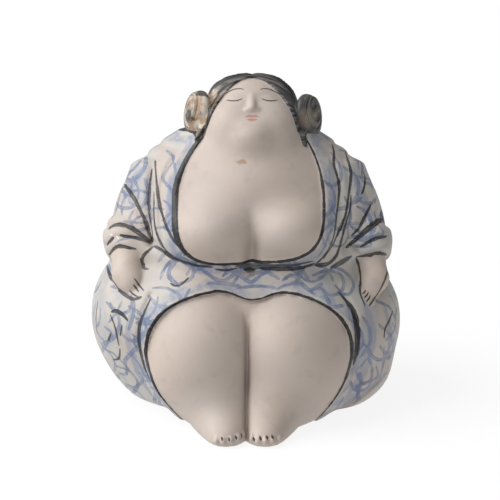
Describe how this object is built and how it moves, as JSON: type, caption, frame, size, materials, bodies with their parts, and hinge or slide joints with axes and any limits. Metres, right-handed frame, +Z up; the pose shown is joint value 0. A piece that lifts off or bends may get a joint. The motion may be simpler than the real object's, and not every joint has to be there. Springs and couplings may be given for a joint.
{
  "type": "ceramic statuette of a seated figure",
  "caption": "Stout seated figure in an open robe, head tipped back, hair in side buns, bare feet; cast in one piece on a flat underside.",
  "frame": {"origin": "middle of the flat underside, at its height", "axes": "+Z up, the figure faces -Y, +X is to the right of someone who looks at its face"},
  "size_m": [0.1926, 0.1855, 0.2001],
  "materials": {
    "ceramic": "matt unglazed body with brushed underglaze ink and blue, satin in places"
  },
  "bodies": {
    "root": {"figure": "ceramic"}
  },
  "joints": []
}
